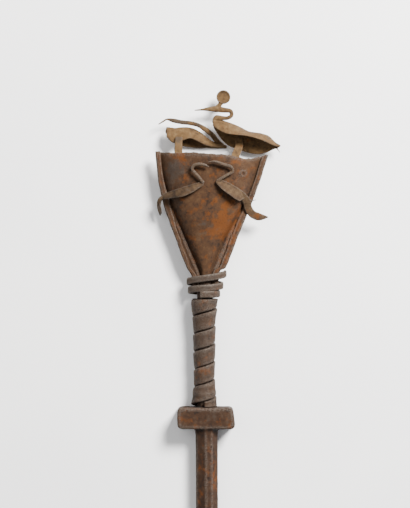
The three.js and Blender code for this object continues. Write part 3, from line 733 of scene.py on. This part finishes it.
edge_left = curve_through([(110, -13.6), (119, -14.3), (125.6, -18.7), (154.4, -29.6),
                           (181.4, -39.2), (204.8, -44.5), (231, -47.2)])
edge_right = curve_through([(110, 10.4), (117, 11.4), (123.8, 12.3), (126.2, 17.2), (154.4, 28.4),
                            (181.4, 39.6), (204.8, 47.8), (228, 55.7)])
groove_left = curve_through([(110, -5.6), (123, -5.8), (149, -17.1), (181.4, -30.6), (204.8, -38.2), (231, -41.8)])
groove_right = curve_through([(110, 3.8), (123, 3.9), (149, 14.2), (174.2, 27.9), (192.2, 36.9), (228, 48.4)])
hem_left = curve_through([(125, 4.2), (150, 4.2), (181, 6.6)])
hem_right = curve_through([(125, 6.2), (150, 6.5)])
wall_height = curve_through([(120, 4.8), (149, 6.8), (181, 9.6), (228, 11.6)])
face_swell = curve_through([(120, 0.6), (149, 2.4), (181, 4.2), (228, 7.2)])
section_power = curve_through([(120, 4), (149, 5), (185, 7), (205, 5.5), (228, 2.3)])
mouth_edge = curve_through([(-46.5, 230.6), (-38, 229.6), (0, 228.4), (20, 226.5), (36.5, 224),
                            (47, 225.2), (55.3, 227.8)])


def head_height(x, y):
    """Height of the middle of the head's sheet between its grooves."""
    left, right = groove_left(y), groove_right(y)
    share = np.minimum(np.abs((2 * x - left - right) / (right - left)), 1)
    return wall_height(y) * (1 - share ** section_power(y)) + face_swell(y) * (1 - share * share)


def face_height(x, y):
    """Front of the head at a place on its face or, beyond the grooves, on its hems."""
    if x < groove_left(y) or x > groove_right(y):
        return 2 * FOLD_RADIUS + HEAD_GAUGE / 2
    return float(head_height(x, y)) + HEAD_GAUGE / 2


def ripple(seed, *waves):
    """An uneven line made by hand: a sum of a few sine waves of (length, height) with fixed phases."""
    rng = np.random.default_rng(seed)
    phases = rng.uniform(0, 2 * math.pi, len(waves))
    return lambda place: sum(h * np.sin(2 * math.pi * place / w + p) for (w, h), p in zip(waves, phases))


def head_border(y, edge, groove, hem, side, seed):
    """Points of one border at height y, from the folded hem's inner edge round its fold to the groove."""
    uneven = ripple(seed, (21, 0.22), (9, 0.12), (4.3, 0.05))(y)
    lip = ripple(seed + 1, (17, 0.25), (6.5, 0.12))(y)
    fold_out = FOLD_RADIUS + HEAD_GAUGE / 2
    centre = edge - side * (fold_out + 0.25 + uneven * 0.5)
    widest = abs(edge - groove) - 1
    rim = edge - side * min(hem + lip, widest)
    share = np.linspace(0, 1, 9)[:-1]
    lip_x = rim + (centre - rim) * share
    lip_z = 2 * FOLD_RADIUS + (0.25 + 0.3 * lip) * (1 - share) ** 2
    angle = np.linspace(0, math.pi, 13)
    fold_x = centre + side * FOLD_RADIUS * np.sin(angle)
    fold_z = FOLD_RADIUS * (1 + np.cos(angle))
    base = np.linspace(0, 1, 19)[1:]
    base_x = centre + (groove - centre) * base
    strip_high = 0.75 * np.exp(-((base - 0.62) / 0.17) ** 4) * np.clip((abs(groove - rim) - 2) / 3, 0, 1)
    return np.column_stack([np.concatenate([lip_x, fold_x, base_x]),
                            np.concatenate([lip_z, fold_z, strip_high])])


def head_section(y, columns):
    """Places across the head at height y, from the left hem's inner edge to the right one's, as (x, z)."""
    left, right = float(groove_left(y)), float(groove_right(y))
    share = np.linspace(-1, 1, columns)
    share = np.sign(share) * (1 - (1 - np.abs(share)) ** 1.35)
    x = (left + right) / 2 + share * (right - left) / 2
    face = np.column_stack([x, head_height(x, y)])
    west = head_border(y, float(edge_left(y)), left, float(hem_left(y)), -1, 11)
    east = head_border(y, float(edge_right(y)), right, float(hem_right(y)), 1, 17)
    return np.vstack([west[:-1], face, east[:-1][::-1]])


def hammer_head(sizes):
    """The head: one sheet hammered hollow, its long edges folded over to the front."""
    levels = np.concatenate([np.linspace(HEAD_FOOT, HEAD_FLARE, 24)[:-1], np.linspace(HEAD_FLARE, HEAD_MOUTH, 156)])
    nick = ripple(23, (31, 0.3), (8, 0.22), (3.1, 0.12))
    grid = []
    for level in levels:
        section = head_section(level, 118)
        lift = max((level - HEAD_FOOT) / (HEAD_MOUTH - HEAD_FOOT) - 0.6, 0) / 0.4
        x, z = section.T
        y = level + lift * (mouth_edge(x) - HEAD_MOUTH) + nick(x) * lift ** 6
        grid.append(np.column_stack([x, y, z]))
    grid = np.array(grid)
    x, y = grid[..., 0], grid[..., 1]
    dent = np.hypot(x - 32.2, y - 210.7)
    grid[..., 2] -= 0.5 * np.exp(-(dent / 1.6) ** 2) - 0.3 * np.exp(-((dent - 2.6) / 0.7) ** 2)
    points, faces = sheet(grid, HEAD_GAUGE)
    mesh = mesh_of(points, faces)
    material = rusty_iron("hammered sheet iron", ((62, 45, 33), (106, 76, 54), (138, 106, 78)), 0.35, 0.25, 0.55)
    skin = {"Hammer Depth": 0.42, "Hammer Size": 11.0, "Pit Depth": 0.2, "Pit Size": 1.7}
    tones = [("rust", 15, 164, 13, 0.3), ("rust", -24, 225, 5, 0.3), ("rust", 20, 180, 9, 0.12),
             ("patina", -26, 214, 13, 0.2), ("patina", 0, 168, 10, 0.14), ("shine", -2, 165, 13, 0.7),
             ("patina", 38, 205, 14, 0.06)]
    dressed("hammered_head", mesh, ["head_shell"], "head_shell", material, skin, tones, 9.0)


# Birds at the mouth


def crest():
    """A flat disc with a rolled rim, facing the front."""
    angle = np.arange(96) * 2 * math.pi / 96
    inset = [(6.2, 0.6), (4, 0.5), (2, 0.55), (1.5, 0.8), (0.9, 1.15), (0.3, 0.9)]
    profile = [(CREST_RADIUS - r, -z) for r, z in inset] + [(CREST_RADIUS, 0)]
    profile += [(CREST_RADIUS - r, z) for r, z in reversed(inset)]
    rings = [[(14.8 + r * math.cos(a), 279.7 + r * math.sin(a), z - 1) for a in angle] for r, z in profile]
    return loft(np.array(rings))


def fold_top_right_bird(sizes):
    """The right bird at the mouth: a folded sheet with an S neck, a long beak and a round crest."""
    body = folded_leaf(
        spine=[(5, 260, -2), (13.6, 258.6, -3), (22.2, 255.8, -3), (30.3, 252.2, -3), (38.6, 248.2, -3),
               (48.5, 246.8, -3), (55.5, 244.4, -3), (61.6, 238.6, -3), (66.6, 235.6, -3)],
        near_edge=[(5.2, 253.6, 2), (10.2, 249.8, 5.5), (16.7, 246.7, 8.5), (25, 245.3, 10.5), (33.8, 244.6, 11),
                   (43.3, 242.4, 9.5), (51.5, 239.6, 6.5), (59.2, 236.1, 2), (65.8, 234.4, -2.2)],
        far_edge=[(5.9, 252.1, -3.5), (12.5, 242.5, -5.4), (19.6, 236.1, -7), (28.1, 233, -8),
                  (36.8, 229.9, -8.4), (45.9, 228.5, -8.4), (53.7, 229.7, -7.6), (59.8, 232.5, -6),
                  (65.2, 234.4, -4)],
        cup=1.2, rows=110)
    neck = strip([(6.6, 256, -1.6, 2.2, 1.1), (8.4, 260.8, -1.2, 2.6, 1.3), (13.5, 260.9, -1, 2, 1.2),
                  (18.9, 260.9, -1, 1.8, 1.2), (22.2, 263.4, -1, 1.8, 1.2), (21.2, 266.9, -1, 2, 1.2),
                  (15, 268, -1, 2.5, 1.4), (8, 268.9, -1, 2.8, 1.7), (2, 268.9, -1, 1.9, 1.4),
                  (-5.3, 268.3, -1, 0.9, 0.9), (-11.3, 267.8, -1, 0.45, 0.5)], 160)
    stem = strip([(7.6, 269.6, -1, 1.6, 0.8), (10.8, 272.2, -1, 2, 0.7), (13.4, 275.4, -1, 2.2, 0.6)], 30)
    prong = strip([(61.5, 235, -4, 0.8, 0.6), (64, 232.6, -4, 0.6, 0.5), (66, 229.7, -4, 0.35, 0.35)], 20)
    mesh = fused(joined(body, neck, stem, crest(), prong), sizes.bird_grain, 2)
    dressed("folded_top_right_bird", mesh, ["top_right_bird"], "top_right_bird", bird_iron(), BIRD_SKIN,
            [("rust", 30, 246, 12, 0.1), ("patina", 56, 241, 8, 0.15)], 11.0)


def fold_top_left_bird(sizes):
    """The left bird at the mouth: a folded sheet whose long neck lies back over it."""
    body = folded_leaf(
        spine=[(-36.9, 252.5, -4.4), (-28.8, 251.7, -4.4), (-20.7, 252.5, -4.6), (-13.5, 251.6, -5.4),
               (-6.3, 248.1, -7), (0, 243, -9), (6.3, 239, -11), (18, 236, -12.4)],
        near_edge=[(-36.5, 243.5, -0.6), (-30.2, 238.2, 1.4), (-21.6, 240.6, 1.4), (-15.3, 242.4, 0.6),
                   (-8.1, 239.7, -2), (-0.9, 236.3, -6.4), (7.2, 234.8, -10.6), (17.4, 234.4, -12.2)],
        far_edge=[(-37.8, 248, -6.6), (-29.7, 238.5, -8.6), (-21.6, 235.8, -10), (-15.3, 234.8, -11),
                  (-8.1, 234.1, -12), (-0.9, 234.4, -12.6), (7.2, 234, -13), (17.6, 234, -13.2)],
        cup=1.0, rows=100)
    neck = strip([(15.6, 235.4, -12.6, 1.6, 0.8), (9.8, 239.8, -11, 2.2, 0.9), (4.4, 246, -7.6, 2.3, 1),
                  (-1.8, 250.9, -3, 2.3, 1), (-8.6, 254.6, -1.4, 1.9, 1), (-15.3, 256.2, -1.6, 2, 1.1),
                  (-23.4, 257.2, -2, 2, 1.1), (-31, 258.7, -2, 1.9, 1), (-36.2, 259.7, -2, 0.8, 0.8),
                  (-40, 257.6, -2, 0.75, 0.7), (-43.8, 255.2, -2, 0.45, 0.5)], 140)
    mesh = fused(joined(body, neck), sizes.bird_grain, 2)
    dressed("folded_top_left_bird", mesh, ["top_left_bird"], "top_left_bird", bird_iron(), BIRD_SKIN,
            [("patina", -30, 259, 5, 0.5), ("patina", -20, 258, 4, 0.5), ("patina", -8, 255, 4, 0.4)], 13.0)


BIRD_SKIN = {"Hammer Depth": 0.16, "Hammer Size": 5.0, "Pit Depth": 0.1, "Pit Size": 1.1, "Scale Depth": 0.05}


def bird_iron():
    if "bird" not in FINISH:
        FINISH["bird"] = rusty_iron("pale rusty sheet", ((96, 74, 52), (150, 118, 84), (190, 160, 122)), 0.1, 0.1, 0.4, 0.8)
    return FINISH["bird"]


def leg(top, inside_x, half_width):
    """A strap that stands behind the mouth and runs down inside the head, flat on the back of its face."""
    def behind(y):
        lowest = min(float(head_height(inside_x + side * half_width, y)) for side in (-1, 1))
        return lowest - HEAD_GAUGE / 2 - 2 * CLEARANCE - 0.8

    inside = [(inside_x, y, behind(y), half_width, 0.8) for y in (216, 210, 203)]
    return strip([(*p, 0.8) for p in top] + inside, 70, squareness=0.4, sides=20)


def bend_legs(sizes):
    """The two straps that the birds at the mouth stand on."""
    right = leg([(28.6, 243.6, -3.2, 3.2), (29, 240.2, -3.6, 3.4), (29, 235.4, -2.4, 3.5),
                 (26.9, 230, 1.4, 3.7), (24.9, 224.4, 6, 3.8)], 23.4, 3.8)
    left = leg([(-25.2, 243.4, 2.6, 3.2), (-25.4, 240.4, 3.8, 3.3), (-25.6, 237, 4.6, 3.4),
                (-25.7, 231.4, 5.2, 3.7), (-25.5, 224.4, 6.4, 3.8)], -25.2, 3.8)
    material = rusty_iron("leg strap iron", ((110, 86, 62), (160, 128, 94), (190, 162, 126)), 0.15, 0.15, 0.4, 0.7)
    for name, body, node, seed in (("bent_right_leg", right, "top_right_leg", 15.0),
                                   ("bent_left_leg", left, "top_left_leg", 17.0)):
        mesh = fused(joined(body), 0.3, 2)
        dressed(name, mesh, [node], node, material, BIRD_SKIN, [("patina", -26, 242, 5, 0.3)], seed)


# Birds on the face


def on_face(x, y, lift):
    return (x, y, face_height(x, y) + CLEARANCE + 0.7 + lift)


def fold_front_right_bird(sizes):
    """The right bird on the face: it looks left, with an S neck, a spur and a tail like a leaf."""
    body = folded_leaf(
        spine=[on_face(8.4, 204.4, 1), on_face(16.5, 201.4, 1), on_face(24, 197.4, 1.2), on_face(31, 192.8, 2),
               on_face(35.4, 189, 4)],
        near_edge=[on_face(7.6, 202, 1.4), on_face(12.8, 196.4, 4.2), on_face(19, 191.8, 5.8),
                   on_face(25.6, 187.2, 7.4), on_face(29.4, 185.4, 8.6)],
        far_edge=[on_face(9, 205.4, 0.8), on_face(17.2, 203.2, 0.6), on_face(24.8, 199.2, 0.8),
                  on_face(32, 194.4, 1.4), on_face(36.2, 190.4, 4)],
        cup=0.5, columns=10)
    neck = strip([(*on_face(9.4, 203.6, 1.4), 1.6, 0.9), (*on_face(13.6, 206.4, 2), 1.4, 0.9),
                  (*on_face(19, 209.6, 2.6), 1.4, 0.9), (*on_face(23, 212.4, 3), 1.4, 1),
                  (*on_face(21.6, 215.8, 3.2), 1.5, 1.1), (*on_face(14.6, 218.2, 3.2), 1.6, 1.3),
                  (*on_face(7, 220.8, 3.2), 1, 1), (*on_face(0.5, 220.3, 3), 0.45, 0.5)], 120)
    tail = strip([(*on_face(31, 191.8, 1.8), 3, 0.7), (35.8, 185.2, 7.6, 3.8, 0.7),
                  (37.2, 179.4, 5.2, 3.6, 0.7), (40.6, 174.4, 4.2, 3.6, 0.7), (45.6, 171.9, 3.8, 3.7, 0.7),
                  (50.6, 171.4, 3.2, 2.4, 0.7), (55.3, 171.3, 2.6, 0.5, 0.5)], 80, squareness=0.6)
    spur = strip([(*on_face(35, 188.6, 2), 1.2, 0.7), (39.4, 186.4, 5.6, 0.7, 0.6),
                  (44.4, 186.9, 5.8, 0.4, 0.4)], 30)
    mesh = fused(joined(body, neck, tail, spur), sizes.bird_grain, 3)
    dressed("folded_front_right_bird", mesh, ["front_right_bird"], "front_right_bird", face_bird_iron(), BIRD_SKIN,
            [("rust", 46, 173, 8, 0.15)], 19.0)


def fold_front_left_bird(sizes):
    """The left bird on the face: it looks right, with an S neck and a tail turned on edge past the hem."""
    body = folded_leaf(
        spine=[on_face(-2.3, 202.6, 1), on_face(-11.1, 199.9, 1), on_face(-19.2, 197.4, 1.2),
               on_face(-28, 194.4, 2), (-39.6, 190.8, 5.4)],
        near_edge=[on_face(-3.4, 199.4, 1.4), on_face(-12.6, 193.4, 3.6), on_face(-20.6, 189.8, 4.8),
                   on_face(-28.2, 188.6, 5), (-39, 187.2, 6.6)],
        far_edge=[on_face(-2.2, 203.6, 0.8), on_face(-10.9, 201.5, 0.6), on_face(-19, 199.1, 0.8),
                  on_face(-27.8, 196.2, 1.6), (-39.4, 192.4, 4.8)],
        cup=0.5, columns=10)
    neck = strip([(*on_face(-3.6, 202, 1.4), 1.6, 0.9), (*on_face(-6.8, 206.4, 2), 1.4, 0.9),
                  (*on_face(-10.6, 210.6, 2.6), 1.4, 0.9), (*on_face(-13.2, 214.4, 3), 1.4, 1),
                  (*on_face(-11.2, 217.6, 3.2), 1.5, 1.1), (*on_face(-5.6, 218.4, 3.2), 1.5, 1.2),
                  (*on_face(-1, 217.4, 3.1), 1, 0.9), (*on_face(1.6, 216, 3), 0.5, 0.5)], 120)
    strap = strip([(-37.6, 189.6, 5.6, 1.8, 0.7), (-41.2, 188.2, 4.8, 1.9, 0.7),
                   (-43.2, 185, 2.6, 2, 0.8), (-43.4, 181.4, -0.6, 1.6, 0.9)], 50, squareness=0.6)
    tail = strip([(-43.2, 186.4, 1.6, 1, 0.7), (-43.4, 182.6, 0, 4.2, 0.7), (-43, 178, -2, 4.8, 0.7),
                  (-42.4, 172.8, -4.6, 0.8, 0.5)], 50, squareness=0.6, turn=68)
    mesh = fused(joined(body, neck, strap, tail), sizes.bird_grain, 3)
    dressed("folded_front_left_bird", mesh, ["front_left_bird"], "front_left_bird", face_bird_iron(), BIRD_SKIN,
            [("patina", -20, 197, 8, 0.15)], 21.0)


def face_bird_iron():
    if "face bird" not in FINISH:
        FINISH["face bird"] = rusty_iron("dark rusty sheet", ((66, 50, 38), (112, 88, 66), (160, 134, 104)), 0.15, 0.3, 0.8, 0.8)
    return FINISH["face bird"]


# Studio

VIEW_CENTRE = (-1.8, 138.15)
VIEW_HEIGHT = 0.4572
CAMERA_HEIGHT = 2.0
SENSOR = 24.0


def floor_material():
    """Pale matt paper with a barely uneven tone."""
    made = ShaderTree("pale floor")
    cloud = made.noise(180, 2, 0.5)
    colour = made.mix(cloud.between(0.3, 0.7), (0.83, 0.83, 0.84), (0.87, 0.87, 0.87))
    made.tree.links.new(colour, made.shader.inputs["Base Color"])
    made.shader.inputs["Roughness"].default_value = 0.9
    return made.material


def set_stage(sizes):
    """A pale floor, soft lights from the upper right and a camera that looks down on the staff."""
    half = 4.0
    corners = [(-half, -half, 0), (half, -half, 0), (half, half, 0), (-half, half, 0)]
    mesh = bpy.data.meshes.new("pale_floor")
    mesh.from_pydata(corners, [], [(0, 1, 2, 3)])
    mesh.transform(Matrix.Translation((0, 0, -0.0003)))
    mesh.materials.append(floor_material())
    floor = bpy.data.objects.new("pale_floor", mesh)
    bpy.context.scene.collection.objects.link(floor)

    world = bpy.data.worlds.new("soft room")
    world.use_nodes = True
    world.node_tree.nodes["Background"].inputs["Color"].default_value = (0.97, 0.98, 1, 1)
    world.node_tree.nodes["Background"].inputs["Strength"].default_value = sizes.room_light
    bpy.context.scene.world = world

    target = STAFF_TO_FRAME @ Vector((*VIEW_CENTRE, 0))
    lamps = (("key lamp", Vector((0.46, 0.53, 0.71)), 1.7, 0.55, sizes.key_light),
             ("fill lamp", Vector((-0.5, 0.2, 0.9)), 2.0, 1.6, sizes.key_light * 0.12))
    for name, direction, distance, size, power in lamps:
        lamp = bpy.data.lights.new(name, "AREA")
        lamp.energy = power
        lamp.size = size
        lamp.color = (1.0, 0.985, 0.96)
        holder = bpy.data.objects.new(name, lamp)
        holder.location = target + direction.normalized() * distance
        holder.rotation_euler = (-direction).to_track_quat("-Z", "Y").to_euler()
        bpy.context.scene.collection.objects.link(holder)

    camera = bpy.data.cameras.new("camera")
    camera.sensor_fit = "VERTICAL"
    camera.sensor_height = SENSOR
    subject = STAFF_TO_FRAME @ Vector((*VIEW_CENTRE, 6))
    camera.lens = SENSOR * (CAMERA_HEIGHT - subject.z) / VIEW_HEIGHT
    camera.clip_end = 20
    eye = bpy.data.objects.new("camera", camera)
    eye.location = (subject.x, subject.y, CAMERA_HEIGHT)
    bpy.context.scene.collection.objects.link(eye)
    bpy.context.scene.camera = eye


# Add-on


class StaffSizes(bpy.types.PropertyGroup):
    shaft_grain: bpy.props.FloatProperty(
        name="Shaft Grain", description="Width of a quad on the shaft, in millimetres", default=0.75, min=0.3)
    bird_grain: bpy.props.FloatProperty(
        name="Bird Grain", description="Width of a quad on a bird, in millimetres", default=0.36, min=0.2)
    grip_pitch: bpy.props.FloatProperty(
        name="Grip Pitch", description="Climb of the wound strip in one turn, in millimetres", default=15.95)
    strap_gauge: bpy.props.FloatProperty(
        name="Strap Gauge", description="Thickness of the neck binding, in millimetres", default=2.5)


class StudioSettings(bpy.types.PropertyGroup):
    key_light: bpy.props.FloatProperty(
        name="Key Light", description="Power of the main lamp", default=150.0, min=0, unit="POWER")
    room_light: bpy.props.FloatProperty(
        name="Room Light", description="Strength of the light from all round", default=0.45, min=0)


class STAFF_OT_forge_shaft(bpy.types.Operator):
    """Forge the square shaft with its cross bar"""

    bl_idname = "staff.forge_shaft"
    bl_label = "Forge Shaft"

    def execute(self, context):
        forge_shaft(context.scene.staff_sizes)
        return {"FINISHED"}


class STAFF_OT_wind_grip(bpy.types.Operator):
    """Wind a strip of sheet up the grip"""

    bl_idname = "staff.wind_grip"
    bl_label = "Wind Grip"

    def execute(self, context):
        wind_grip(context.scene.staff_sizes)
        return {"FINISHED"}


class STAFF_OT_bind_neck(bpy.types.Operator):
    """Bind a strap round the foot of the head"""

    bl_idname = "staff.bind_neck"
    bl_label = "Bind Neck"

    def execute(self, context):
        bind_neck(context.scene.staff_sizes)
        return {"FINISHED"}


class STAFF_OT_hammer_head(bpy.types.Operator):
    """Hammer the hollow head and fold its hems"""

    bl_idname = "staff.hammer_head"
    bl_label = "Hammer Head"

    def execute(self, context):
        hammer_head(context.scene.staff_sizes)
        return {"FINISHED"}


class STAFF_OT_fold_top_birds(bpy.types.Operator):
    """Fold the two birds at the mouth and bend their legs"""

    bl_idname = "staff.fold_top_birds"
    bl_label = "Fold Top Birds"

    def execute(self, context):
        sizes = context.scene.staff_sizes
        fold_top_right_bird(sizes)
        fold_top_left_bird(sizes)
        bend_legs(sizes)
        return {"FINISHED"}


class STAFF_OT_fold_front_birds(bpy.types.Operator):
    """Fold the two birds on the face"""

    bl_idname = "staff.fold_front_birds"
    bl_label = "Fold Front Birds"

    def execute(self, context):
        sizes = context.scene.staff_sizes
        fold_front_right_bird(sizes)
        fold_front_left_bird(sizes)
        return {"FINISHED"}


class STAFF_OT_set_stage(bpy.types.Operator):
    """Set the floor, the lights and the camera"""

    bl_idname = "staff.set_stage"
    bl_label = "Set Stage"

    def execute(self, context):
        set_stage(context.scene.staff_studio)
        return {"FINISHED"}


STEPS = (
    STAFF_OT_set_stage,
    STAFF_OT_forge_shaft,
    STAFF_OT_wind_grip,
    STAFF_OT_bind_neck,
    STAFF_OT_hammer_head,
    STAFF_OT_fold_top_birds,
    STAFF_OT_fold_front_birds,
)


class VIEW3D_PT_staff(bpy.types.Panel):
    bl_label = "Osanyin Staff"
    bl_idname = "VIEW3D_PT_staff"
    bl_space_type = "VIEW_3D"
    bl_region_type = "UI"
    bl_category = "Staff"

    def draw(self, context):
        for settings in (context.scene.staff_sizes, context.scene.staff_studio):
            for name in settings.__annotations__:
                self.layout.prop(settings, name)
        for step in STEPS:
            self.layout.operator(step.bl_idname)


CLASSES = (StaffSizes, StudioSettings, *STEPS, VIEW3D_PT_staff)


def register():
    for made in CLASSES:
        bpy.utils.register_class(made)
    bpy.types.Scene.staff_sizes = bpy.props.PointerProperty(type=StaffSizes)
    bpy.types.Scene.staff_studio = bpy.props.PointerProperty(type=StudioSettings)


def unregister():
    del bpy.types.Scene.staff_studio
    del bpy.types.Scene.staff_sizes
    for made in reversed(CLASSES):
        bpy.utils.unregister_class(made)


def main():
    register()
    for step in STEPS:
        group, name = step.bl_idname.split(".")
        getattr(getattr(bpy.ops, group), name)()


if __name__ == "__main__":
    main()
